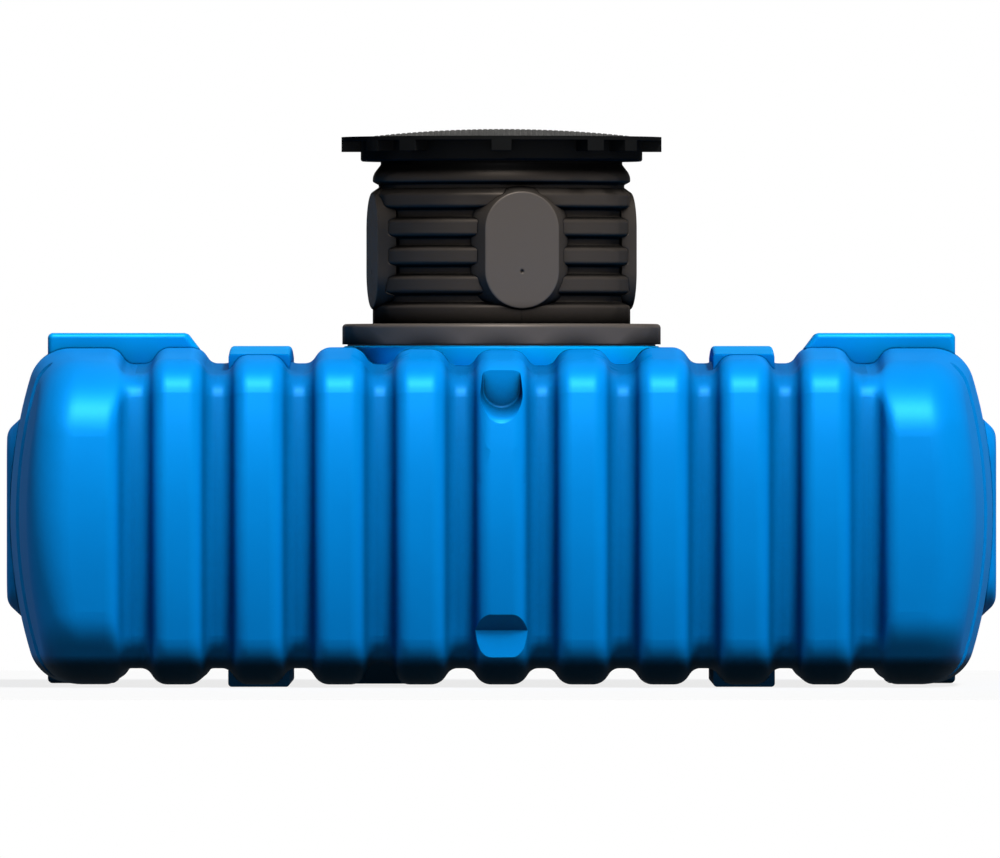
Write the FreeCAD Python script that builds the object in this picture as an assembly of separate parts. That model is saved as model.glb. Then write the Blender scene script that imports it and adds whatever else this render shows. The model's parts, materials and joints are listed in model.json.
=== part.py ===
import FreeCAD, Part
import math
import os
from types import SimpleNamespace

V = FreeCAD.Vector

# tank, crest to crest, in millimetres
tank_half_width = 975.0
tank_crown = 842.0
tank_floor = 6.0
wall = 10.0

# ribs across the walls, floor and roof
ribs_each_side = 4
rib_depth = 40.0
rib_slope = 55.5
rib_crest_flat = 26.0
rib_edge_radius = 42.0
rib_valley_radius = 30.0
rib_valley_flat = 8.6
seam_gap = 14.0

# section across the length: bellied side, round shoulder and foot, vaulted roof
belly_radius = 1200.0
belly_height = 424.0
shoulder_radius = 112.0
roof_sag = 31.0
foot_radius = 150.0

# flat recesses in the shoulder and the foot of the middle rib
recess_edge = 12.0
recess_top_inset = 73.0
recess_top_half = 46.0
recess_top_drop = 8.0
recess_top_slope = 0.62
recess_top_flare = 2.9
recess_side_share = 0.4
recess_lip_inset = 25.0
recess_lip_radius = 36.0
recess_foot_radius = 9.0
recess_low_inset = 59.0
recess_low_height = 135.0
recess_low_slope = 1.15

# domed ends
cap_valley_gap = 23.0
cap_shoulder_radius = 227.0
cap_roof_sag = 33.0
cap_foot_radius = 225.0
dome_x = 1227.0
dome_radius = 1200.0
dome_plan_radius = 7300.0
dome_rim_radius = 105.0
dome_groove_y = 640.0
dome_groove_radius = 70.0
dome_groove_depth = 24.0

# flat pipe pad on each end
end_pad_stand = 7.0
end_pad_height = 418.0
end_pad_half_width = 180.0
end_pad_half_height = 215.0
end_pad_corner = 80.0
end_pad_depth = 60.0
end_pad_draft = 56.0
end_pad_edge = 42.0

# raised blocks on the roof ends
block_rise = 35.0
block_inner_x = 785.0
block_slope = 0.76
block_outer_x = 1131.0
block_half_width = 210.0
block_edge = 13.0

# feet under the ends and the filled valley under the floor
end_foot_drop = 2.0
end_foot_height = 60.0
end_foot_edge = 12.0
web_rib = -2
web_rise = 2.0
web_turn = 58.0

# skids under the floor and stacking saddles on the roof
skid_rib = 3
skid_half_width = 76.0
skid_edge = 9.0
skid_end_gap = 20.0
saddle_rise = 3.0
saddle_half_length = 690.0

# round neck on the roof
neck_outer_radius = 395.0
neck_clear_radius = 300.0
neck_rise = 3.0
neck_drop = 65.0
neck_edge = 6.0
gasket_radius = 385.0
gasket_height = 4.0

# riser
riser_turn = 9.0
flange_radius = 398.0
flange_height = 51.0
flange_edge = 10.0
riser_radius = 322.0
riser_wall_thickness = 8.0
riser_height = 338.0
riser_shoulder = 15.0
riser_groove_depth = 18.0
riser_groove_pitch = 71.0
riser_first_groove = 62.0
riser_groove_mouth = 17.0
riser_groove_bottom = 8.0
riser_groove_edge = 5.0
riser_band_edge = 10.0
riser_grooves = 4

# rolled collar on the riser
collar_neck = 9.0
collar_flank = 8.0
collar_land = 17.0
collar_taper = 26.0
collar_lip = 8.0
collar_bead = 15.0
collar_lip_inset = 5.0
collar_edge = 6.0
collar_bead_radius = 36.0

# oval pipe pads on the riser
oval_stand = 6.0
oval_half_width = 92.0
oval_half_height = 145.0
oval_mid = 183.0
oval_draft = 30.0
oval_depth = 43.0
oval_edge = 5.0
drill_mark_radius = 6.0
drill_mark_depth = 4.0

# cover frame and lid
frame_radius = 400.0
frame_skirt = 7.0
frame_height = 61.0
frame_plate = 10.0
frame_seat = 34.0
frame_edge = 6.0
lug_width = 50.0
lug_height = 27.0
lug_angles = (0, 36, 54)
lid_radius = 340.0
lid_clearance = 5.0
lid_seat_gap = 0.5
lid_rim_height = 25.5
lid_crown = 20.0
lid_thickness = 13.0
lid_rim_width = 38.0
lid_ribs = 8
lid_rib_width = 10.0
lid_hub_radius = 40.0

along_x = V(1, 0, 0)
upward = V(0, 0, 1)
origin = V(0, 0, 0)
overrun = 300.0
ledge_steps = 5

os.makedirs("parts", exist_ok=True)


def save(name, shape):
    shape.exportStep("parts/" + name + ".step")


def bend(a, p, b, radius):
    """Ends and middle of the arc that rounds corner p between a and b."""
    ua = (a - p).normalize()
    ub = (b - p).normalize()
    half = ua.getAngle(ub) / 2
    reach = radius / math.tan(half)
    middle = (ua + ub).normalize()
    centre = p + middle * (radius / math.sin(half))
    return p + ua * reach, centre - middle * radius, p + ub * reach


def rounded_edges(points, radii):
    """Lines through points with their corners rounded."""
    edges = []
    start = points[0]
    for i in range(1, len(points) - 1):
        if radii[i] > 0:
            first, mid, last = bend(points[i - 1], points[i], points[i + 1], radii[i])
            edges.append(Part.makeLine(start, first))
            edges.append(Part.Arc(first, mid, last).toShape())
            start = last
        else:
            edges.append(Part.makeLine(start, points[i]))
            start = points[i]
    edges.append(Part.makeLine(start, points[-1]))
    return edges


def face_from(edges):
    return Part.Face(Part.Wire(Part.__sortEdges__(edges)))


def inner_path(path, radii, thickness):
    """The path moved to its right side, with matching corner radii."""
    moved = []
    sizes = []
    for i in range(len(path)):
        before = path[max(i - 1, 0)]
        here = path[i]
        after = path[min(i + 1, len(path) - 1)]
        way_in = V(here[0] - before[0], here[1] - before[1], 0)
        way_out = V(after[0] - here[0], after[1] - here[1], 0)
        if way_in.Length == 0:
            way_in = way_out
        if way_out.Length == 0:
            way_out = way_in
        way_in = way_in.normalize()
        way_out = way_out.normalize()
        normal_in = V(way_in.y, -way_in.x, 0)
        normal_out = V(way_out.y, -way_out.x, 0)
        shift = (normal_in + normal_out) * (thickness / (1 + normal_in.dot(normal_out)))
        moved.append((here[0] + shift.x, here[1] + shift.y))
        turn = way_in.x * way_out.y - way_in.y * way_out.x
        if radii[i] == 0:
            sizes.append(0)
        elif turn < 0:
            sizes.append(max(radii[i] - thickness, 0))
        else:
            sizes.append(radii[i] + thickness)
    return moved, sizes


def wall_face(path, radii, thickness, place, round_inside=True):
    """Closed face between the path and its parallel on the inside."""
    inside, inside_radii = inner_path(path, radii, thickness)
    if not round_inside:
        inside_radii = [0] * len(inside)
    outer = [place(*p) for p in path]
    inner = [place(*p) for p in inside]
    edges = rounded_edges(outer, radii)
    edges.append(Part.makeLine(outer[-1], inner[-1]))
    edges += rounded_edges(inner[::-1], inside_radii[::-1])
    edges.append(Part.makeLine(inner[0], outer[0]))
    return face_from(edges)


def filled_face(path, radii, base, place):
    """Closed face between the path and a straight line at height base."""
    outer = [place(*p) for p in path]
    low_end = place(path[-1][0], base)
    low_start = place(path[0][0], base)
    edges = rounded_edges(outer, radii)
    edges.append(Part.makeLine(outer[-1], low_end))
    edges.append(Part.makeLine(low_end, low_start))
    edges.append(Part.makeLine(low_start, outer[0]))
    return face_from(edges)


half_slope = math.tan(math.radians(rib_slope) / 2)
rib_flank = rib_depth / math.tan(math.radians(rib_slope))
rib_crest_half = rib_crest_flat + rib_edge_radius * half_slope
rib_foot_half = rib_crest_half + rib_flank
rib_valley_half = rib_foot_half + rib_valley_radius * half_slope
rib_pitch = 2 * (rib_valley_half + rib_valley_flat)
last_valley_x = ribs_each_side * rib_pitch + rib_valley_half
seam_x = last_valley_x + seam_gap
cap_valley_x = last_valley_x + cap_valley_gap + rib_valley_radius * half_slope
cap_crest_x = cap_valley_x + rib_flank


def corrugation():
    """Ribs along the length as (x, height from the crest)."""
    path = [(-seam_x, -rib_depth)]
    radii = [0]
    for i in range(-ribs_each_side, ribs_each_side + 1):
        x = i * rib_pitch
        path += [
            (x - rib_foot_half, -rib_depth),
            (x - rib_crest_half, 0),
            (x + rib_crest_half, 0),
            (x + rib_foot_half, -rib_depth),
        ]
        radii += [rib_valley_radius, rib_edge_radius, rib_edge_radius, rib_valley_radius]
    path.append((seam_x, -rib_depth))
    radii.append(0)
    return path, radii


def outline(top_radius, sag, low_radius):
    """Centres and end angles of the arcs across the length."""
    side_y = tank_half_width - belly_radius
    top_z = tank_crown - sag - top_radius

    def corner_y(radius, z):
        return side_y + math.sqrt((belly_radius - radius) ** 2 - (z - belly_height) ** 2)

    top_y = corner_y(top_radius, top_z)
    low_z = tank_floor + low_radius
    low_y = corner_y(low_radius, low_z)
    roof_radius = (top_y ** 2 + sag ** 2) / (2 * sag) + top_radius
    roof_z = tank_crown - roof_radius
    return SimpleNamespace(
        side_y=side_y,
        top_y=top_y,
        top_z=top_z,
        top_radius=top_radius,
        low_y=low_y,
        low_z=low_z,
        low_radius=low_radius,
        roof_radius=roof_radius,
        roof_z=roof_z,
        side_low=math.degrees(math.atan2(low_z - belly_height, low_y - side_y)),
        side_top=math.degrees(math.atan2(top_z - belly_height, top_y - side_y)),
        lean=math.degrees(math.atan2(top_y, top_z - roof_z)),
    )


def arc_yz(x, y, z, radius, start, stop):
    """Arc in a plane across the length, angles in degrees from +Y."""
    points = []
    for angle in (start, (start + stop) / 2, stop):
        a = math.radians(angle)
        points.append(V(x, y + radius * math.cos(a), z + radius * math.sin(a)))
    return Part.Arc(*points).toShape()


def section_wire(x, inset, o):
    """Outline o across the length, moved inward by inset."""
    floor = tank_floor + inset
    edges = [
        Part.makeLine(V(x, -o.low_y, floor), V(x, o.low_y, floor)),
        arc_yz(x, o.low_y, o.low_z, o.low_radius - inset, -90, o.side_low),
        arc_yz(x, o.side_y, belly_height, belly_radius - inset, o.side_low, o.side_top),
        arc_yz(x, o.top_y, o.top_z, o.top_radius - inset, o.side_top, 90 - o.lean),
        arc_yz(x, 0, o.roof_z, o.roof_radius - inset, 90 - o.lean, 90 + o.lean),
        arc_yz(x, -o.top_y, o.top_z, o.top_radius - inset, 90 + o.lean, 180 - o.side_top),
        arc_yz(x, -o.side_y, belly_height, belly_radius - inset, 180 - o.side_top, 180 - o.side_low),
        arc_yz(x, -o.low_y, o.low_z, o.low_radius - inset, 180 - o.side_low, 270),
    ]
    return Part.Wire(edges)


def mirrored(shape):
    return shape.mirror(origin, V(1, 0, 0))


def flipped(shape):
    return shape.mirror(origin, V(0, 1, 0))


path, radii = corrugation()
mid = outline(shoulder_radius, roof_sag, foot_radius)
roof_axis = V(0, 0, mid.roof_z)
core_depth = -rib_depth - 2 * wall


def floor_shape(face_of, depth):
    """Flat floor swept from a face across it."""
    face = face_of(path, radii, depth, lambda x, n: V(x, -mid.low_y, tank_floor - n))
    return face.extrude(V(0, 2 * mid.low_y, 0))


def roof_shape(face_of, depth):
    """Vaulted roof turned from a face at its crown."""
    face = face_of(path, radii, depth, lambda x, n: V(x, 0, tank_crown + n))
    face.rotate(roof_axis, along_x, -mid.lean)
    return face.revolve(roof_axis, along_x, 2 * mid.lean)


def side_shapes(face_of, depth):
    """Bellied front wall with its foot and shoulder, turned from one face."""
    low = face_of(path, radii, depth, lambda x, n: V(x, -tank_half_width - n, belly_height))
    top = low.copy()
    belly_axis = V(0, -mid.side_y, belly_height)
    low.rotate(belly_axis, along_x, -mid.side_low)
    top.rotate(belly_axis, along_x, -mid.side_top)
    return {
        "wall": low.revolve(belly_axis, along_x, mid.side_low - mid.side_top),
        "floor_corner": low.revolve(V(0, -mid.low_y, mid.low_z), along_x, 90 + mid.side_low),
        "roof_corner": top.revolve(V(0, -mid.top_y, mid.top_z), along_x, mid.lean + mid.side_top - 90),
    }


def recess_wire(y, half, low, high, corner):
    """Upright outline with a round bottom and rounded top corners."""
    turn = low + half
    bow = corner * (1 - math.sqrt(0.5))
    left = V(-half, y, high - corner)
    right = V(half, y, high - corner)
    top_left = V(corner - half, y, high)
    top_right = V(half - corner, y, high)
    edges = [
        Part.Arc(V(half, y, turn), V(0, y, low), V(-half, y, turn)).toShape(),
        Part.makeLine(V(-half, y, turn), left),
        Part.Arc(left, V(bow - half, y, high - bow), top_left).toShape(),
        Part.makeLine(top_left, top_right),
        Part.Arc(top_right, V(half - bow, y, high - bow), right).toShape(),
        Part.makeLine(right, V(half, y, turn)),
    ]
    return Part.Wire(edges)


def ledge_curve():
    """Ledge of the shoulder recess as (way out, drop): foot, slope and round lip."""
    lip = recess_top_inset - recess_lip_inset
    mouth = recess_top_inset + wall
    lip_drop = lip * recess_top_slope
    corners = [
        V(0, -recess_top_half, 0),
        V(0, 0, 0),
        V(lip, lip_drop, 0),
        V(mouth, lip_drop + (mouth - lip) * recess_top_flare, 0),
    ]
    points = []
    for i, radius in ((1, recess_foot_radius), (2, recess_lip_radius)):
        arc = Part.Arc(*bend(corners[i - 1], corners[i], corners[i + 1], radius)).toShape()
        points += arc.discretize(ledge_steps)
    return points + corners[-1:]


def shoulder_recess(grow):
    """Space of the flat recess in the shoulder, made larger by grow."""
    back = -tank_half_width + recess_top_inset + grow
    low = mid.top_z - recess_top_drop - grow
    wires = []
    for p in ledge_curve():
        half = recess_top_half + p.y * recess_side_share + grow
        wires.append(recess_wire(back - p.x, half, low - p.y, tank_crown + grow, recess_edge + grow))
    return Part.makeLoft(wires, True, True)


def foot_recess(grow):
    """Space of the flat recess in the foot, made larger by grow."""
    back = -tank_half_width + recess_low_inset + grow
    front = -tank_half_width - wall
    half = rib_foot_half
    low = tank_floor - wall
    top = tank_floor + recess_low_height + grow
    lip = top + (recess_low_inset + wall) * recess_low_slope
    corners = [V(-half, back, low), V(-half, back, top), V(-half, front, lip), V(-half, front, low)]
    return Part.Face(Part.makePolygon(corners + corners[:1])).extrude(V(2 * half, 0, 0))


def recessed(shape, core):
    """Shape with the middle rib's recesses, its wall kept behind them."""
    for recess in (shoulder_recess, foot_recess):
        lining = recess(wall).common(core)
        if lining.Volume > 0:
            shape = shape.fuse(lining).cut(recess(0))
    return shape.removeSplitter()


save("floor_panel", floor_shape(wall_face, wall))
side_cores = side_shapes(filled_face, core_depth)
for name, shape in side_shapes(wall_face, wall).items():
    piece = recessed(shape, side_cores[name])
    save("front_" + name, piece)
    save("back_" + name, flipped(piece))

neck_top = tank_crown + neck_rise
neck_low = neck_top - neck_drop
neck_bore = Part.makeCylinder(neck_outer_radius, 2 * overrun, V(0, 0, neck_top - overrun))
save("roof_panel", roof_shape(wall_face, wall).cut(neck_bore))
under_roof = roof_shape(filled_face, -overrun)
under_floor = floor_shape(filled_face, -overrun)


def dome_body(inset):
    """Solid bounded by the twice curved end wall."""
    radius = dome_radius - inset
    middle = dome_x - dome_radius
    low = tank_floor - overrun
    high = tank_crown + overrun

    def on_arc(z):
        return V(middle + math.sqrt(radius ** 2 - (z - belly_height) ** 2), 0, z)

    back_low = V(seam_x - overrun, 0, low)
    back_high = V(seam_x - overrun, 0, high)
    edges = [
        Part.makeLine(back_low, on_arc(low)),
        Part.Arc(on_arc(low), on_arc(belly_height), on_arc(high)).toShape(),
        Part.makeLine(on_arc(high), back_high),
        Part.makeLine(back_high, back_low),
    ]
    face = Part.Face(Part.Wire(edges))
    axis = V(dome_x - dome_plan_radius, 0, 0)
    half = math.degrees(math.asin(1.2 * tank_half_width / dome_plan_radius))
    face.rotate(axis, upward, -half)
    return face.revolve(axis, upward, 2 * half)


def flank_sections(inset):
    """Outlines from the last valley up to the crest of the end."""
    outer = [(seam_x, -rib_depth), (cap_valley_x, -rib_depth), (cap_crest_x, 0), (dome_x, 0)]
    profile, sizes = inner_path(outer, [0, rib_valley_radius, rib_edge_radius, 0], inset)
    corners = [V(x, n, 0) for x, n in profile]
    wires = []
    for i in (1, 2):
        arc = Part.Arc(*bend(corners[i - 1], corners[i], corners[i + 1], sizes[i])).toShape()
        for p in arc.discretize(4):
            share = (p.y + rib_depth + inset) / rib_depth
            o = outline(
                shoulder_radius + share * (cap_shoulder_radius - shoulder_radius),
                roof_sag + share * (cap_roof_sag - roof_sag),
                foot_radius + share * (cap_foot_radius - foot_radius),
            )
            wires.append(section_wire(p.x, -p.y, o))
    return wires


def end_body(inset):
    """Solid right-hand end, moved inward by inset."""
    wires = flank_sections(inset)
    start_x = wires[0].BoundBox.XMin
    crest_x = wires[-1].BoundBox.XMin
    valley = Part.Face(section_wire(seam_x, rib_depth + inset, mid))
    cap_outline = outline(cap_shoulder_radius, cap_roof_sag, cap_foot_radius)
    crest = Part.Face(section_wire(crest_x, inset, cap_outline))
    cap = crest.extrude(V(overrun + dome_x - crest_x, 0, 0)).common(dome_body(inset))
    rim = [f for f in cap.Faces if f.Surface.TypeId == "Part::GeomToroid"][0]
    cap = cap.makeFillet(dome_rim_radius - inset, rim.Edges)
    neck = valley.extrude(V(start_x - seam_x, 0, 0))
    body = neck.fuse([Part.makeLoft(wires, True, False), cap]).removeSplitter()
    set_back = dome_groove_y ** 2 / (2 * dome_plan_radius)
    reach = dome_radius - set_back + dome_groove_radius - dome_groove_depth
    for side in (-1, 1):
        middle = V(dome_x - dome_radius, side * dome_groove_y, belly_height)
        body = body.cut(Part.makeTorus(reach, dome_groove_radius + inset, middle, V(0, 1, 0)))
    return body


end_outer = end_body(0)
right_end = end_outer.cut(end_body(wall))
save("right_end", right_end)
save("left_end", mirrored(right_end))


def pad_wire(x, grow):
    """Rounded rectangle of the end pad at x, made larger by grow."""
    corner = end_pad_corner + grow
    side = end_pad_half_width + grow - corner
    rise = end_pad_half_height + grow - corner
    arcs = []
    for sy, sz, start in ((1, 1, 0), (-1, 1, 90), (-1, -1, 180), (1, -1, 270)):
        arcs.append(arc_yz(x, sy * side, end_pad_height + sz * rise, corner, start, start + 90))
    edges = []
    for arc, after in zip(arcs, arcs[1:] + arcs[:1]):
        edges += [arc, Part.makeLine(arc.Vertexes[-1].Point, after.Vertexes[0].Point)]
    return Part.Wire(edges)


def end_pad():
    """Flat upright pad that stands on the middle of the domed end."""
    face_x = dome_x + end_pad_stand
    base_x = face_x - end_pad_depth
    body = Part.makeLoft([pad_wire(base_x, end_pad_draft), pad_wire(face_x, 0)], True, True)
    edges = [e for e in body.Edges if e.BoundBox.XMin > face_x - 0.01]
    return body.makeFillet(end_pad_edge, edges).cut(end_outer)


pad = end_pad()
save("right_end_pad", pad)
save("left_end_pad", mirrored(pad))


def roof_block():
    """Raised block that bridges the last rib and the end."""
    top = tank_crown + block_rise
    deep = block_rise + 2 * rib_depth
    corners = [
        V(block_inner_x - block_slope * deep, -block_half_width, top - deep),
        V(block_inner_x, -block_half_width, top),
        V(block_outer_x, -block_half_width, top),
        V(block_outer_x, -block_half_width, top - deep),
    ]
    body = Part.Face(Part.makePolygon(corners + corners[:1])).extrude(V(0, 2 * block_half_width, 0))
    edges = [e for e in body.Edges if e.BoundBox.ZMax > top - 1]
    return body.makeFillet(block_edge, edges).cut(under_roof).cut(end_outer)


block = roof_block()
save("right_roof_block", block)
save("left_roof_block", mirrored(block))


def end_foot():
    """Flat foot under the domed end, below the roof block."""
    low = tank_floor - end_foot_drop
    size = V(block_outer_x - cap_crest_x, 2 * block_half_width, end_foot_height)
    body = Part.makeBox(size.x, size.y, size.z, V(cap_crest_x, -block_half_width, low))
    edges = [e for e in body.Edges if e.BoundBox.ZMin < low + 1]
    return body.makeFillet(end_foot_edge, edges).cut(end_outer)


foot = end_foot()
save("right_end_foot", foot)
save("left_end_foot", mirrored(foot))


def floor_web():
    """Filled valley that joins two ribs under the floor, ramped at its ends."""
    turn = math.radians(web_turn)
    depth = mid.low_radius - rib_depth
    ramp_y = mid.low_y + depth * math.sin(turn)
    ramp_z = mid.low_z - depth * math.cos(turn)
    low_z = tank_floor + web_rise
    inner_z = tank_floor + rib_depth + wall / 2
    x = web_rib * rib_pitch + rib_crest_flat
    front = [V(x, -mid.low_y, inner_z), V(x, -ramp_y, ramp_z), V(x, -mid.low_y, low_z)]
    back = [V(x, mid.low_y, low_z), V(x, ramp_y, ramp_z), V(x, mid.low_y, inner_z)]
    face = Part.Face(Part.makePolygon(front + back + front[:1]))
    body = face.extrude(V(rib_pitch - 2 * rib_crest_flat, 0, 0)).cut(under_floor)
    return body.cut(side_cores["floor_corner"]).cut(flipped(side_cores["floor_corner"]))


save("floor_web", floor_web())


def rail_face(rise, place):
    """Square rail that straddles one rib, as a face across the rail."""
    half = skid_half_width
    deep = -rib_depth - wall
    corners = [place(*p) for p in ((-half, deep), (-half, rise), (half, rise), (half, deep))]
    edges = rounded_edges(corners, [0, skid_edge, skid_edge, 0])
    edges.append(Part.makeLine(corners[-1], corners[0]))
    return face_from(edges)


def skid():
    """Rail under the floor that the tank stands on."""
    x = skid_rib * rib_pitch
    half_length = mid.low_y - skid_end_gap
    face = rail_face(tank_floor, lambda u, n: V(x + u, -half_length, tank_floor - n))
    return face.extrude(V(0, 2 * half_length, 0)).cut(under_floor)


def saddle():
    """Rail on the roof that carries a second tank in transport."""
    x = skid_rib * rib_pitch
    turn = math.degrees(math.asin(saddle_half_length / mid.roof_radius))
    face = rail_face(saddle_rise, lambda u, n: V(x + u, 0, tank_crown + n))
    face.rotate(roof_axis, along_x, -turn)
    return face.revolve(roof_axis, along_x, 2 * turn).cut(under_roof)


for name, shape in (("skid", skid()), ("saddle", saddle())):
    save("right_" + name, shape)
    save("left_" + name, mirrored(shape))


def ring(points, radii):
    """Ring turned about the upright axis from closed (r, z) corners."""
    corners = [V(r, 0, z) for r, z in points]
    count = len(corners)
    edges = []
    ends = []
    for i in range(count):
        p = corners[i]
        if radii[i] > 0:
            first, middle, last = bend(corners[i - 1], p, corners[(i + 1) % count], radii[i])
            edges.append(Part.Arc(first, middle, last).toShape())
            ends.append((first, last))
        else:
            ends.append((p, p))
    for i in range(count):
        edges.append(Part.makeLine(ends[i][1], ends[(i + 1) % count][0]))
    return face_from(edges).revolve(origin, upward, 360)


def square_ring(inner, outer, low, high, top_edge=0):
    corners = [(inner, low), (outer, low), (outer, high), (inner, high)]
    return ring(corners, [0, 0, top_edge, 0])


skirt_inner = neck_outer_radius - wall
neck = ring(
    [
        (neck_clear_radius, neck_top - 2 * wall),
        (neck_clear_radius, neck_top),
        (neck_outer_radius, neck_top),
        (neck_outer_radius, neck_low),
        (skirt_inner, neck_low),
        (skirt_inner, neck_top - wall),
        (neck_clear_radius + wall, neck_top - wall),
        (neck_clear_radius + wall, neck_top - 2 * wall),
    ],
    [0, 0, neck_edge, 0, 0, 0, 0, 0],
)
save("neck_platform", neck)

gasket_top = neck_top + gasket_height
flange_top = gasket_top + flange_height
save("platform_gasket", square_ring(neck_clear_radius, gasket_radius, neck_top, gasket_top))
save("riser_flange", square_ring(neck_clear_radius, flange_radius, gasket_top, flange_top, flange_edge))


def riser_path():
    """Riser wall from the flange up, as (height, radius)."""
    points = [(flange_top, riser_radius)]
    sizes = [0]
    floor = riser_radius - riser_groove_depth
    for i in range(riser_grooves):
        z = flange_top + riser_first_groove + i * riser_groove_pitch
        points += [
            (z - riser_groove_mouth, riser_radius),
            (z - riser_groove_bottom, floor),
            (z + riser_groove_bottom, floor),
            (z + riser_groove_mouth, riser_radius),
        ]
        sizes += [riser_band_edge, riser_groove_edge, riser_groove_edge, riser_band_edge]
    top = flange_top + riser_height
    points += [(top - riser_shoulder, riser_radius), (top, riser_radius - riser_shoulder)]
    sizes += [riser_band_edge, 0]
    return points, sizes


def collar_path():
    """Neck groove and rolled bead above the riser wall, as (height, radius)."""
    radius = riser_radius - riser_shoulder
    lip = radius - collar_lip_inset
    z = flange_top + riser_height
    points = [(z, radius)]
    for step, r in (
        (collar_neck, radius),
        (collar_flank, radius + collar_bead),
        (collar_land, radius + collar_bead),
        (collar_taper, lip),
        (collar_lip, lip),
    ):
        z += step
        points.append((z, r))
    return points, [0, collar_edge / 2, collar_edge, collar_bead_radius, collar_edge, 0]


def upright(z, r):
    return V(r, 0, z)


riser_points, riser_radii = riser_path()
collar_points, collar_radii = collar_path()
riser_face = wall_face(riser_points, riser_radii, riser_wall_thickness, upright, False)
collar_face = wall_face(collar_points, collar_radii, riser_wall_thickness, upright, False)
save("riser_collar", collar_face.revolve(origin, upward, 360))
riser_core = filled_face(riser_points, riser_radii, 0.0, upright).revolve(origin, upward, 360)
collar_core = filled_face(collar_points, collar_radii, 0.0, upright).revolve(origin, upward, 360)
flange_core = Part.makeCylinder(flange_radius, flange_height, V(0, 0, gasket_top))


def oval_wire(distance, grow):
    """Stadium outline facing the front at a distance from the axis."""
    radius = oval_half_width + grow
    straight = oval_half_height - oval_half_width
    high = flange_top + oval_mid + straight
    low = flange_top + oval_mid - straight
    y = -distance
    edges = [
        Part.Arc(V(radius, y, high), V(0, y, high + radius), V(-radius, y, high)).toShape(),
        Part.makeLine(V(-radius, y, high), V(-radius, y, low)),
        Part.Arc(V(-radius, y, low), V(0, y, low - radius), V(radius, y, low)).toShape(),
        Part.makeLine(V(radius, y, low), V(radius, y, high)),
    ]
    return Part.Wire(edges)


def oval_pad():
    """Flat oval for a pipe seal, seated over the grooves of the riser wall."""
    face_at = riser_radius + oval_stand
    body = Part.makeLoft([oval_wire(face_at - oval_depth, oval_draft), oval_wire(face_at, 0)], True, True)
    edges = [e for e in body.Edges if e.BoundBox.YMax < 0.01 - face_at]
    centre = V(0, -face_at, flange_top + oval_mid - oval_half_height + oval_half_width)
    mark = Part.makeCone(drill_mark_radius, 0, drill_mark_depth, centre, V(0, 1, 0))
    body = body.makeFillet(oval_edge, edges).cut(mark)
    return body.cut(riser_core).cut(collar_core).cut(flange_core)


oval = oval_pad()
segments = ("front_right", "back_right", "back_left", "front_left")
for i, side in enumerate(("front", "right", "back", "left")):
    segment = riser_face.revolve(origin, upward, 90)
    segment.rotate(origin, upward, riser_turn + 90 * (i - 1))
    save("riser_wall_" + segments[i], segment)
    turned = oval.copy()
    turned.rotate(origin, upward, riser_turn + 90 * i)
    save("riser_pad_" + side, turned)

frame_low, frame_open = collar_points[-1]
frame_open -= riser_wall_thickness
frame_top = frame_low + frame_height
seat = frame_low + frame_seat
frame_bore = lid_radius + lid_clearance
skirt_radius = frame_bore + frame_skirt
plate_low = frame_top - frame_plate


def cover_frame():
    """Ring that seats the lid, with lugs under its outer plate."""
    body = ring(
        [
            (frame_open, frame_low),
            (skirt_radius, frame_low),
            (skirt_radius, plate_low),
            (frame_radius, plate_low),
            (frame_radius, frame_top),
            (frame_bore, frame_top),
            (frame_bore, seat),
            (frame_open, seat),
        ],
        [0, frame_edge, 0, 0, 0, 0, 0, 0],
    )
    low = plate_low - lug_height
    disc = Part.makeCylinder(frame_radius, lug_height, V(0, 0, low))
    inner = frame_bore + frame_skirt / 2
    lug = Part.makeBox(lug_width, frame_radius - inner, lug_height, V(-lug_width / 2, -frame_radius, low))
    lug = lug.common(disc)
    lugs = []
    for quarter in range(4):
        for angle in lug_angles:
            copy = lug.copy()
            copy.rotate(origin, upward, 90 * quarter + angle)
            lugs.append(copy)
    return body.fuse(lugs).removeSplitter()


save("cover_frame", cover_frame())

lid_low = seat + lid_seat_gap
lid_edge = lid_low + lid_rim_height
lid_top = lid_edge + lid_crown


def turned_under(top, radius, edge):
    """Solid of revolution under a shallow arc from its top to its edge."""
    sphere = (radius ** 2 + (top - edge) ** 2) / (2 * (top - edge))
    half = radius / 2
    half_z = top - sphere + math.sqrt(sphere ** 2 - half ** 2)
    edges = [
        Part.Arc(V(0, 0, top), V(half, 0, half_z), V(radius, 0, edge)).toShape(),
        Part.makeLine(V(radius, 0, edge), V(radius, 0, lid_low)),
        Part.makeLine(V(radius, 0, lid_low), V(0, 0, lid_low)),
        Part.makeLine(V(0, 0, lid_low), V(0, 0, top)),
    ]
    return Part.Face(Part.Wire(edges)).revolve(origin, upward, 360)


def lid():
    """Domed lid with a rim to stand on and radial ribs beneath."""
    body = turned_under(lid_top, lid_radius, lid_edge)
    hollow = turned_under(lid_top - lid_thickness, lid_radius - lid_rim_width, lid_edge - lid_thickness)
    deep = lid_top - lid_low
    hollow = hollow.cut(Part.makeCylinder(lid_hub_radius, deep, V(0, 0, lid_low)))
    for i in range(lid_ribs // 2):
        corner = V(-lid_radius, -lid_rib_width / 2, lid_low)
        rib = Part.makeBox(2 * lid_radius, lid_rib_width, deep, corner)
        rib.rotate(origin, upward, i * 360 / lid_ribs)
        hollow = hollow.cut(rib)
    return body.cut(hollow)


save("lid", lid())
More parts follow.
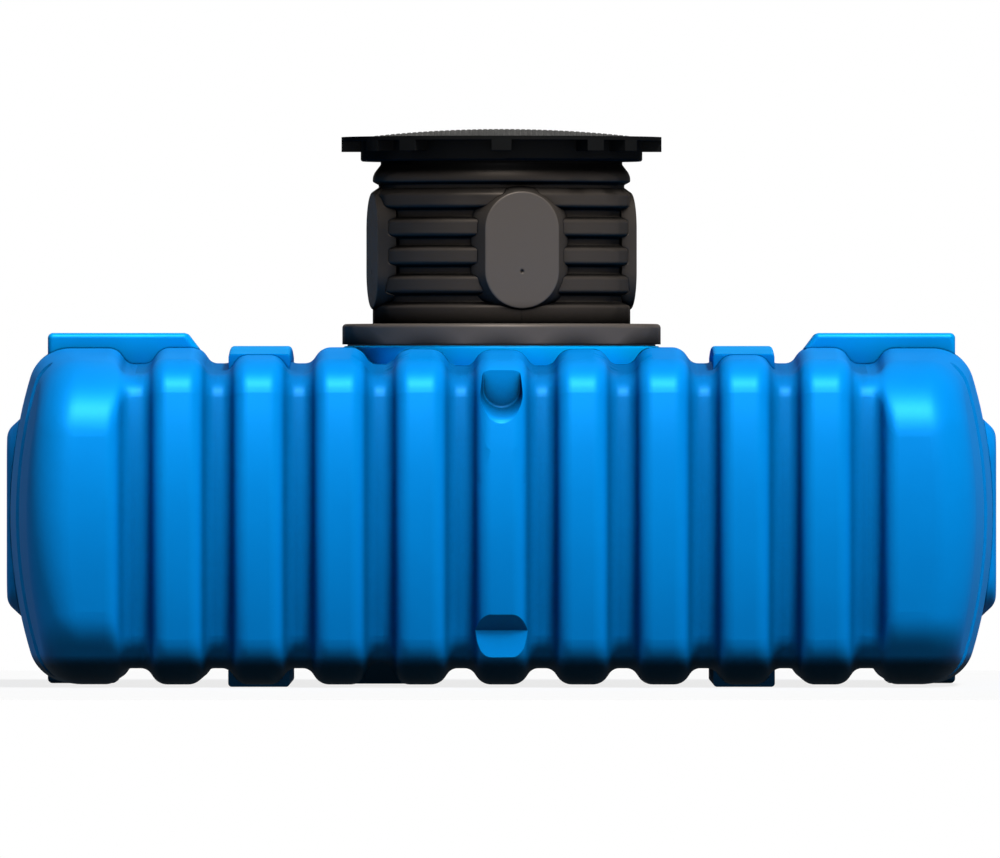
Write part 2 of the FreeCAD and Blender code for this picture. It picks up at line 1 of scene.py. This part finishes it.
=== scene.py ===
import bmesh
import bpy
import json
import math
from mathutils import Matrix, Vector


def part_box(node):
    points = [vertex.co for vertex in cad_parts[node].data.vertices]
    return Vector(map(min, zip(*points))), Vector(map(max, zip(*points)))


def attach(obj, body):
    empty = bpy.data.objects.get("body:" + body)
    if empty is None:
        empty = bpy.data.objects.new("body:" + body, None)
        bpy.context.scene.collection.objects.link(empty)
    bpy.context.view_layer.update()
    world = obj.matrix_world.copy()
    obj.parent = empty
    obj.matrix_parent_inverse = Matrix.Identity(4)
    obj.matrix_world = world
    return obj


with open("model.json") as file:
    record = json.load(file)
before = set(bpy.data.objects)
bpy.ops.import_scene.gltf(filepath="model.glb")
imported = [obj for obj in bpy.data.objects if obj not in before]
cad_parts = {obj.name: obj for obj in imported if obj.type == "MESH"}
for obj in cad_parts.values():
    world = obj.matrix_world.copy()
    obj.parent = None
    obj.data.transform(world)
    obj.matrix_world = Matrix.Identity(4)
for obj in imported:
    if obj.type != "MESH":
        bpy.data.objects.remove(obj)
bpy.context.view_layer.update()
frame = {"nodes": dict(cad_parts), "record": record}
nodes = frame["nodes"]


class Value:
    """A socket of some nodes, used in plain arithmetic."""

    def __init__(self, recipe, socket):
        self.recipe = recipe
        self.socket = socket

    def maths(self, operation, *terms):
        return self.recipe.add("ShaderNodeMath", {"operation": operation}, dict(enumerate(terms)))

    def __add__(self, other):
        return self.maths("ADD", self, other)

    def __radd__(self, other):
        return self.maths("ADD", other, self)

    def __sub__(self, other):
        return self.maths("SUBTRACT", self, other)

    def __rsub__(self, other):
        return self.maths("SUBTRACT", other, self)

    def __mul__(self, other):
        return self.maths("MULTIPLY", self, other)

    def __rmul__(self, other):
        return self.maths("MULTIPLY", other, self)

    def __truediv__(self, other):
        return self.maths("DIVIDE", self, other)

    def __rtruediv__(self, other):
        return self.maths("DIVIDE", other, self)

    def at_most(self, other):
        return self.maths("MINIMUM", self, other)

    def at_least(self, other):
        return self.maths("MAXIMUM", self, other)

    def size(self):
        return self.maths("ABSOLUTE", self)

    def sign(self):
        return self.maths("SIGN", self)

    def root(self):
        return self.maths("SQRT", self)

    def nearest_whole(self):
        return self.maths("ROUND", self)

    def step(self, low, high):
        """0 below low, 1 above high and a smooth rise between them."""
        kind = {"interpolation_type": "SMOOTHSTEP"}
        return self.recipe.add("ShaderNodeMapRange", kind, {0: self, 1: low, 2: high, 3: 0.0, 4: 1.0})


class Recipe:
    """The nodes of one material or of the world."""

    def __init__(self, owner):
        owner.use_nodes = True
        self.owner = owner
        self.tree = owner.node_tree
        self.tree.nodes.clear()

    def add(self, kind, settings, sockets, out=0):
        """One node: its settings first, then the values or links of its sockets."""
        node = self.tree.nodes.new(kind)
        for key, value in settings.items():
            setattr(node, key, value)
        for key, value in sockets.items():
            if isinstance(value, Value):
                self.tree.links.new(value.socket, node.inputs[key])
            else:
                node.inputs[key].default_value = value
        return Value(self, node.outputs[out]) if node.outputs else None

    def place(self):
        """Place on the piece in metres, as the piece stands at rest."""
        return self.add("ShaderNodeTexCoord", {}, {}, "Object")

    def stretched(self, vector, scale):
        return self.add("ShaderNodeVectorMath", {"operation": "MULTIPLY"}, {0: vector, 1: scale})

    def turned(self, vector, angle):
        """Vector turned about the upright axis."""
        kind = {"rotation_type": "Z_AXIS"}
        return self.add("ShaderNodeVectorRotate", kind, {"Vector": vector, "Angle": angle})

    def noise(self, vector, scale, detail, roughness):
        sockets = {"Vector": vector, "Scale": scale, "Detail": detail, "Roughness": roughness}
        return self.add("ShaderNodeTexNoise", {"noise_dimensions": "3D"}, sockets)

    def axis(self, vector, name):
        return self.add("ShaderNodeSeparateXYZ", {}, {0: vector}, name)

    def normal(self):
        """Way the mesh faces."""
        return self.add("ShaderNodeNewGeometry", {}, {}, "Normal")

    def rounded(self, radius):
        """Way the mesh faces, with edges that catch the light as if rounded."""
        return self.add("ShaderNodeBevel", {"samples": 4}, {"Radius": radius})

    def facing(self, name):
        return self.axis(self.normal(), name)

    def shelter(self, reach, normal):
        """1 in the open, towards 0 deep in a valley or under a ledge."""
        sockets = {"Distance": reach, "Normal": normal}
        return self.add("ShaderNodeAmbientOcclusion", {"samples": 8}, sockets, "AO")

    def mix(self, factor, first, second):
        """Colour between two colours."""
        kind = {"data_type": "RGBA", "clamp_factor": True}
        return self.add("ShaderNodeMix", kind, {0: factor, 6: first, 7: second}, 2)

    def between(self, factor, first, second):
        """Vector between two vectors."""
        return self.add("ShaderNodeMix", {"data_type": "VECTOR"}, {0: factor, 4: first, 5: second}, 1)

    def bump(self, height, strength, distance, normal):
        """Fine relief on a surface that faces along a normal."""
        sockets = {"Height": height, "Strength": strength, "Distance": distance, "Normal": normal}
        return self.add("ShaderNodeBump", {}, sockets)

    def seen(self):
        """1 for rays from the camera, also by way of a reflection or a clear piece."""
        camera_ray = self.add("ShaderNodeLightPath", {}, {}, "Is Camera Ray")
        glossy_ray = self.add("ShaderNodeLightPath", {}, {}, "Is Glossy Ray")
        clear_ray = self.add("ShaderNodeLightPath", {}, {}, "Is Transmission Ray")
        return (camera_ray + glossy_ray + clear_ray).at_most(1.0)

    def plastic(self, sockets):
        shader = self.add("ShaderNodeBsdfPrincipled", {}, sockets)
        self.add("ShaderNodeOutputMaterial", {}, {"Surface": shader})
        return self.owner


def colour(red, green, blue):
    return (red, green, blue, 1.0)


def material(name):
    return Recipe(bpy.data.materials.new(name))


# Rib profile and vault of the roof panel, as in the part's source, in metres
rib_depth = 0.040
rib_slope = math.radians(55.5)
rib_crest_flat = 0.026
rib_edge_radius = 0.042
rib_valley_radius = 0.030
rib_valley_flat = 0.0086
half_slope = math.tan(rib_slope / 2)
rib_foot_half = rib_crest_flat + rib_edge_radius * half_slope + rib_depth / math.tan(rib_slope)
rib_valley_half = rib_foot_half + rib_valley_radius * half_slope
rib_pitch = 2 * (rib_valley_half + rib_valley_flat)
vault_radius = 11.178
vault_crown = 0.842
seam_fade_start = 0.74
seam_fade_end = 0.82

# Shade in the valleys of the shell
shelter_reach = 0.08
valley_start = 0.034
valley_end = 0.078
valley_cover = 0.17
mark_slack = 0.2
fitting_edge = 0.006


def shell_surface(r, place):
    """Way the surface faces and how open it lies."""
    normal = r.normal()
    return normal, r.shelter(shelter_reach, normal)


def fitting_surface(r, place):
    """The same for fittings, whose edges catch the light."""
    normal = r.rounded(fitting_edge)
    return normal, r.shelter(shelter_reach, normal)


def vault_surface(r, place):
    """The same for the ribbed roof, from its rib profile, and from the mesh near the seams and underneath."""
    x = r.axis(place, "X")
    y = r.axis(place, "Y")
    z = r.axis(place, "Z")
    beside = x - (x / rib_pitch).nearest_whole() * rib_pitch
    away = beside.size()
    crest = (away - rib_crest_flat) / rib_edge_radius
    foot = (rib_valley_half - away) / rib_valley_radius
    lean = crest.at_most(foot).at_most(math.sin(rib_slope)).at_least(0.0) * beside.sign()
    upright = (1 - lean * lean).root()
    rise = z - (vault_crown - vault_radius)
    out = (y * y + rise * rise).root()
    exact = r.add("ShaderNodeCombineXYZ", {}, {0: lean, 1: upright * y / out, 2: upright * rise / out})
    share = (1 - y.size().step(seam_fade_start, seam_fade_end)) * r.facing("Z").step(0.02, 0.12)
    normal = r.between(share, r.normal(), exact)
    traced = r.shelter(shelter_reach, normal)
    # Painted shade for the roof valleys, drawn from the rib profile, and kept near the traced shade wherever
    # that is much deeper.
    drawn = (1 - away.step(valley_start, valley_end) * valley_cover).at_most(traced + mark_slack)
    return normal, share * drawn + (1 - share) * traced


def tank_blue(name, surface, valley_shade, crown_painted_light):
    """Blue moulded polyethylene with a satin skin and faint flow marks, with painted shade in its valleys and
    on its undersides, and painted light that makes fittings paler above the crown.
    """
    deep_blue = colour(0.0, 0.275, 0.82)
    light_blue = colour(0.0, 0.315, 0.91)
    painted_light_blue = colour(0.0, 0.46, 1.0)
    dust_blue = colour(0.12, 0.38, 0.72)
    valley_shade_blue = colour(0.0, 0.034, 0.09)
    underside_shade_blue = colour(0.0, 0.034, 0.06)
    crown_low, crown_high = 0.79, 0.85
    dust_share = 0.05
    underside_shade_share = 0.55
    valley_dulling = 3.0
    r = material(name)
    place = r.place()
    normal, shelter = surface(r, place)
    cloud = r.noise(place, scale=2.2, detail=4.0, roughness=0.55)
    flow = r.noise(r.stretched(place, (9.0, 9.0, 1.2)), scale=2.0, detail=3.0, roughness=0.5)
    speck = r.noise(place, scale=260.0, detail=2.0, roughness=0.6)
    grain = r.noise(place, scale=90.0, detail=3.0, roughness=0.6)
    up = r.axis(normal, "Z")
    dust = up.step(0.55, 1.0) * cloud.step(0.35, 0.75)
    # Painted shade: faces turned downward are darkened, as if unlit from below.
    underside_shade = (up * -1).step(0.25, 0.6)
    # Painted light: above the crown the colour turns paler, as if those faces caught more light.
    high = r.axis(place, "Z").step(crown_low, crown_high)
    pigment = r.mix(cloud.step(0.3, 0.7) * 0.6 + flow * 0.4, deep_blue, light_blue)
    crown_lit = r.mix(high * crown_painted_light, pigment, painted_light_blue)
    dusted = r.mix(dust * dust_share, crown_lit, dust_blue)
    # Painted shade: the base colour darkens toward a deep blue in the valleys and under ledges, where little
    # light reaches; the metallic is cut there too, which dims highlights.
    shaded = r.mix((1 - shelter) * valley_shade, dusted, valley_shade_blue)
    gloss = (1 - (1 - shelter) * valley_dulling).at_least(0.0)
    return r.plastic({
        "Base Color": r.mix(underside_shade * underside_shade_share, shaded, underside_shade_blue),
        "Roughness": 0.43 + 0.07 * cloud + 0.05 * speck,
        "Metallic": 0.16 * gloss,
        "Specular IOR Level": 0.0,
        "Specular Tint": colour(0.0, 0.12, 0.3),
        "Coat Weight": 0.06,
        "Coat Roughness": 0.42,
        "Normal": r.bump(grain * 0.6 + speck * 0.4, 0.10, 0.002, normal),
    })


# The riser stands turned on its flange, and its pipe pads end in flats at this distance from its middle
riser_turn = math.radians(9.0)
pad_face = 0.326
pad_face_blur = 0.0015
past_riser = 1.0


def riser_black(name, painted_light_from):
    """Warm black moulded polyethylene with a fine grain, with painted light making it paler outside a square
    round the riser, and painted shade in its grooves.
    """
    deep_black = colour(0.058, 0.048, 0.040)
    light_black = colour(0.070, 0.058, 0.048)
    painted_light_black = colour(0.122, 0.103, 0.088)
    scuff_grey = colour(0.16, 0.15, 0.14)
    dust_grey = colour(0.22, 0.20, 0.18)
    groove_shade_black = colour(0.003, 0.003, 0.003)
    scuff_share = 0.10
    dust_share = 0.12
    groove_reach = 0.06
    groove_shade = 2.3
    wall_edge = 0.004
    r = material(name)
    place = r.place()
    cloud = r.noise(place, scale=5.0, detail=4.0, roughness=0.6)
    grain = r.noise(place, scale=420.0, detail=2.0, roughness=0.55)
    scuff = r.noise(r.stretched(place, (2.0, 2.0, 26.0)), scale=6.0, detail=5.0, roughness=0.7)
    dust = r.facing("Z").step(0.35, 0.95) * cloud.step(0.3, 0.7)
    # Painted light: the pad flats, and the whole flange, are made paler, as if they caught more light.
    squared = r.turned(place, -riser_turn)
    reach = r.axis(squared, "X").size().at_least(r.axis(squared, "Y").size())
    flat = reach.step(painted_light_from, painted_light_from + pad_face_blur)
    body = r.mix(cloud, deep_black, light_black)
    paler = r.mix(flat, body, painted_light_black)
    scuffed = r.mix(scuff.step(0.6, 0.78) * scuff_share, paler, scuff_grey)
    dusted = r.mix(dust * dust_share, scuffed, dust_grey)
    # Painted shade: deep in the grooves the colour goes near black, where little light reaches.
    groove = (1 - r.shelter(groove_reach, r.normal())) * groove_shade
    return r.plastic({
        "Base Color": r.mix(groove, dusted, groove_shade_black),
        "Roughness": 0.40 + 0.10 * cloud + 0.08 * grain,
        "Metallic": 0.25,
        "Specular IOR Level": 0.0,
        "Specular Tint": colour(0.12, 0.12, 0.12),
        "Normal": r.bump(grain, 0.12, 0.0012, r.rounded(wall_edge)),
    })


def cover_black(name, least_painted_light):
    """Matte black cover plastic with a coarse grain, with painted light making its top faces paler, scuffs
    where it is trodden on, and painted shade in its hollows.
    """
    deep_black = colour(0.010, 0.010, 0.010)
    light_black = colour(0.016, 0.016, 0.015)
    painted_light_grey = colour(0.11, 0.108, 0.104)
    scuff_grey = colour(0.2, 0.195, 0.185)
    shade_black = colour(0.003, 0.003, 0.003)
    painted_light_share = 0.7
    scuff_share = 0.3
    cover_edge = 0.003
    r = material(name)
    place = r.place()
    cloud = r.noise(place, scale=7.0, detail=4.0, roughness=0.6)
    grain = r.noise(place, scale=520.0, detail=2.0, roughness=0.6)
    up = r.facing("Z").step(0.5, 1.0)
    trod = up * cloud.step(0.4, 0.72)
    body = r.mix(cloud, deep_black, light_black)
    # Painted light: top faces are made paler as if lit from above; the tread gets this paleness all over.
    top_lit = r.mix(up.at_least(least_painted_light) * painted_light_share, body, painted_light_grey)
    scuffed = r.mix(trod * scuff_share, top_lit, scuff_grey)
    # Painted shade: hollows that do not face up darken toward near black, where little light reaches.
    hollow_shade = (1 - r.shelter(shelter_reach, r.normal())) * (1 - up) * (1 - least_painted_light)
    return r.plastic({
        "Base Color": r.mix(hollow_shade, scuffed, shade_black),
        "Roughness": 0.52 + 0.14 * cloud + 0.06 * grain,
        "Metallic": 0.2,
        "Specular IOR Level": 0.0,
        "Specular Tint": colour(0.12, 0.12, 0.12),
        "Normal": r.bump(grain, 0.18, 0.0015, r.rounded(cover_edge)),
    })


def seal_rubber():
    """Dull rubber ring with a dusty skin."""
    r = material("seal_rubber")
    place = r.place()
    cloud = r.noise(place, scale=14.0, detail=4.0, roughness=0.6)
    grain = r.noise(place, scale=700.0, detail=2.0, roughness=0.5)
    return r.plastic({
        "Base Color": r.mix(cloud, colour(0.014, 0.014, 0.015), colour(0.03, 0.03, 0.031)),
        "Roughness": 0.72 + 0.1 * cloud,
        "Specular IOR Level": 0.2,
        "Normal": r.bump(grain, 0.15, 0.001, r.normal()),
    })


# A finish for each material slot, and for the pieces whose name holds one of these words its own
shell_shade = 2.9
slot_finishes = {
    "tank_plastic": tank_blue("tank_blue", shell_surface, valley_shade=shell_shade, crown_painted_light=0.0),
    "riser_plastic": riser_black("riser_black", painted_light_from=past_riser),
    "cover_plastic": cover_black("cover_black", least_painted_light=0.0),
    "seal_rubber": seal_rubber(),
}
# Fittings and the neck are painted paler above the crown, with less painted valley shade or none.
fitting_blue = tank_blue("fitting_blue", fitting_surface, valley_shade=0.6, crown_painted_light=0.5)
own_finishes = {
    "roof_panel": tank_blue("roof_blue", vault_surface, valley_shade=shell_shade, crown_painted_light=0.0),
    "neck_platform": tank_blue("neck_blue", fitting_surface, valley_shade=0.0, crown_painted_light=1.0),
    "roof_block": fitting_blue,
    "saddle": fitting_blue,
    "end_pad": fitting_blue,
    "riser_pad": riser_black("pad_black", painted_light_from=pad_face),
    "riser_flange": riser_black("flange_black", painted_light_from=0.0),
}
# The tread bars take the painted light all over, and no painted hollow shade.
tread_black = cover_black("tread_black", least_painted_light=1.0)


def dress(piece, finish):
    piece.data.materials.clear()
    piece.data.materials.append(finish)


for subpart in frame["record"]["subparts"]:
    finish = slot_finishes[subpart["material_slot"]]
    for word, own_finish in own_finishes.items():
        if word in subpart["node"]:
            finish = own_finish
    dress(nodes[subpart["node"]], finish)


def piece_from(name, mesh_maker, body, finish):
    """A named mesh piece with its finish, which rides on a body."""
    bm = bmesh.new()
    mesh_maker(bm)
    mesh = bpy.data.meshes.new(name)
    bmesh.ops.recalc_face_normals(bm, faces=bm.faces)
    bm.to_mesh(mesh)
    bm.free()
    piece = bpy.data.objects.new(name, mesh)
    bpy.context.scene.collection.objects.link(piece)
    dress(piece, finish)
    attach(piece, body)


# Tread on the lid, whose dome is read from the lid's own mesh
lid_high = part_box("lid")[1]
lid_radius = lid_high.x
rim_width = 0.001
lid_points = [v.co for v in nodes["lid"].data.vertices]
rim_heights = [p.z for p in lid_points if math.hypot(p.x, p.y) > lid_radius - rim_width]
lid_crown = lid_high.z - max(rim_heights)
dome_radius = (lid_radius ** 2 + lid_crown ** 2) / (2 * lid_crown)
tread_pitch = 0.0136
tread_border = 0.014
tread_half_length = 0.0050
tread_half_width = 0.0018
tread_height = 0.0014
tread_taper = 0.6
tread_sink = 0.0005


def lid_height(x, y):
    return lid_high.z - dome_radius + math.sqrt(dome_radius ** 2 - x * x - y * y)


def tread_bar(bm, x, y, half_x, half_y):
    """One raised bar with sloped sides, set on the dome of the lid."""
    slope = tread_half_width * (1 - tread_taper)
    rows = []
    for grow, lift in ((0, -tread_sink), (-slope, tread_height)):
        row = []
        for sx, sy in ((-1, -1), (1, -1), (1, 1), (-1, 1)):
            px = x + sx * (half_x + grow)
            py = y + sy * (half_y + grow)
            row.append(bm.verts.new((px, py, lid_height(px, py) + lift)))
        rows.append(row)
    foot, top = rows
    bm.faces.new(top)
    bm.faces.new(foot[::-1])
    for i in range(4):
        j = (i + 1) % 4
        bm.faces.new((foot[i], foot[j], top[j], top[i]))


def tread(bm):
    """Bars in pairs that turn from one square to the next."""
    reach = lid_radius - tread_border
    count = int(reach / tread_pitch)
    for i in range(-count, count + 1):
        for j in range(-count, count + 1):
            x = i * tread_pitch
            y = j * tread_pitch
            if math.hypot(x, y) > reach - tread_half_length:
                continue
            for shift in (-tread_pitch / 4, tread_pitch / 4):
                if (i + j) % 2 == 0:
                    tread_bar(bm, x + shift, y, tread_half_width, tread_half_length)
                else:
                    tread_bar(bm, x, y + shift, tread_half_length, tread_half_width)


piece_from("lid_tread", tread, "lid", tread_black)


def floor_white():
    """Pale floor: white where it is seen, dim where it would light the underside."""
    glow_share = 0.75
    r = material("floor_white")
    pale = r.add("ShaderNodeBsdfDiffuse", {}, {"Color": colour(0.9, 0.9, 0.9)})
    glow = r.add("ShaderNodeEmission", {}, {"Color": colour(1, 1, 1), "Strength": 1.0})
    dim = r.add("ShaderNodeBsdfDiffuse", {}, {"Color": colour(0.05, 0.05, 0.05)})
    shown = r.add("ShaderNodeMixShader", {}, {0: glow_share, 1: pale, 2: glow})
    both = r.add("ShaderNodeMixShader", {}, {0: r.seen(), 1: dim, 2: shown})
    r.add("ShaderNodeOutputMaterial", {}, {"Surface": both})
    return r.owner


floor_half = 4.0
floor_drop = 0.001
floor_mesh = bpy.data.meshes.new("floor")
floor_corners = [(sx * floor_half, sy * floor_half, 0) for sx, sy in ((-1, -1), (1, -1), (1, 1), (-1, 1))]
floor_mesh.from_pydata(floor_corners, [], [(0, 1, 2, 3)])
floor_mesh.materials.append(floor_white())
floor = bpy.data.objects.new("floor", floor_mesh)
floor.location.z = -floor_drop
bpy.context.scene.collection.objects.link(floor)


def studio():
    """White where it is seen, a low even light elsewhere."""
    world = bpy.data.worlds.new("studio")
    bpy.context.scene.world = world
    r = Recipe(world)
    white = r.add("ShaderNodeBackground", {}, {"Color": colour(1, 1, 1), "Strength": 1.0})
    soft = r.add("ShaderNodeBackground", {}, {"Color": colour(0.9, 0.95, 1.0), "Strength": 0.055})
    both = r.add("ShaderNodeMixShader", {}, {0: r.seen(), 1: soft, 2: white})
    r.add("ShaderNodeOutputWorld", {}, {"Surface": both})


def lamp(name, azimuth, elevation, strength, spread, lights, shadow):
    """Sun lamp that shines from an azimuth, right of the camera, and an elevation, in degrees."""
    light = bpy.data.lights.new(name, "SUN")
    light.energy = strength
    light.angle = math.radians(spread)
    light.use_shadow = shadow
    sun = bpy.data.objects.new(name, light)
    sun.visible_diffuse = lights == "body"
    sun.visible_glossy = lights == "gloss"
    sun.rotation_euler = (math.radians(90 - elevation), 0, math.radians(azimuth))
    bpy.context.scene.collection.objects.link(sun)


studio()
lamp("key", azimuth=34.0, elevation=52.0, strength=2.45, spread=10.0, lights="body", shadow=True)
lamp("fill", azimuth=34.0, elevation=52.0, strength=1.1, spread=10.0, lights="body", shadow=False)
lamp("highlight", azimuth=0.0, elevation=53.0, strength=6.0, spread=8.0, lights="gloss", shadow=False)

# Camera far off with a long lens, level with the middle of the picture
frame_width = 2.5
lens = 1000.0
sensor = 36.0
camera_x = -0.00375
camera_z = 0.6375
camera_data = bpy.data.cameras.new("camera")
camera_data.lens = lens
camera_data.sensor_width = sensor
camera_data.clip_end = 400.0
camera = bpy.data.objects.new("camera", camera_data)
camera.location = (camera_x, -frame_width * lens / sensor, camera_z)
camera.rotation_euler = (math.radians(90), 0, 0)
bpy.context.scene.collection.objects.link(camera)
bpy.context.scene.camera = camera
bpy.context.scene.view_settings.view_transform = "Standard"
